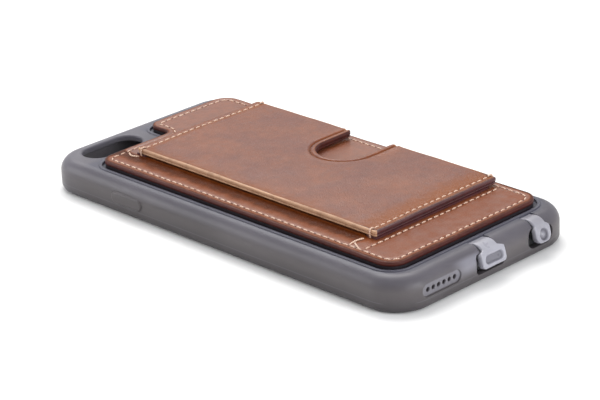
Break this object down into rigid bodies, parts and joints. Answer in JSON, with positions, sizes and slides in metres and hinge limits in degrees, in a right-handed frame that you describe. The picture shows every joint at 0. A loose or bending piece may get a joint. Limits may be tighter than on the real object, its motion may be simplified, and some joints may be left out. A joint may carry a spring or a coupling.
{
  "type": "phone wallet case",
  "caption": "Soft smoke-grey bumper case for a phone, with a stitched tan leather panel and card pocket on its back, port flaps on straps, and press-through side buttons.",
  "frame": {"origin": "middle of the screen opening, on the plane of the lip that the case rests on", "axes": "+X along the case towards the end with the charging port, +Y across it towards the volume buttons, +Z out of the leather back"},
  "size_m": [0.1454, 0.0728, 0.0146],
  "materials": {
    "smoke_bumper": "frosted translucent soft plastic, satin",
    "smoke_flap": "thinner, paler translucent soft plastic",
    "clear_adhesive": "thin transfer adhesive",
    "black_board": "bonded fibre board, black edge",
    "tan_leather": "smooth waxed leather with a fine grain, burnished",
    "dark_leather_edge": "painted dark purple-brown edge",
    "pale_leather_edge": "raw pale tan leather edge",
    "cream_thread": "waxed cream sewing thread"
  },
  "bodies": {
    "case": {"bumper_shell": "smoke_bumper", "adhesive_sheet": "clear_adhesive", "backing_board": "black_board", "back_panel": "tan_leather", "pocket_welt_camera_end": "dark_leather_edge", "pocket_welt_port_end": "dark_leather_edge", "pocket_lining": "pale_leather_edge", "pocket_cover": "tan_leather", "panel_edge_stitching": "cream_thread", "strip_stitching": "cream_thread", "cover_stitching_camera_end": "cream_thread", "cover_stitching_port_end": "cream_thread", "corner_tacks": "cream_thread"},
    "power_key": {"power_button": "smoke_bumper"},
    "volume_up_key": {"volume_up_button": "smoke_bumper"},
    "volume_down_key": {"volume_down_button": "smoke_bumper"},
    "charging_flap": {"charging_port_flap": "smoke_flap"},
    "headphone_flap": {"headphone_port_flap": "smoke_flap"}
  },
  "joints": [
    {"name": "charging_flap_swing", "type": "hinge", "parent": "case", "child": "charging_flap", "pos_m": [0.0668, 0, 0.00925], "axis": [0, -1, 0], "range_deg": [-14, 80], "stiffness_Nm_per_rad": 0.004},
    {"name": "headphone_flap_swing", "type": "hinge", "parent": "case", "child": "headphone_flap", "pos_m": [0.0668, 0.0206, 0.00925], "axis": [0, -1, 0], "range_deg": [-14, 80], "stiffness_Nm_per_rad": 0.004},
    {"name": "power_press", "type": "slide", "parent": "case", "child": "power_key", "axis": [0, 1, 0], "range_m": [0, 0.0004], "stiffness_N_per_m": 500},
    {"name": "volume_up_press", "type": "slide", "parent": "case", "child": "volume_up_key", "axis": [0, -1, 0], "range_m": [0, 0.0004], "stiffness_N_per_m": 500},
    {"name": "volume_down_press", "type": "slide", "parent": "case", "child": "volume_down_key", "axis": [0, -1, 0], "range_m": [0, 0.0004], "stiffness_N_per_m": 500}
  ]
}
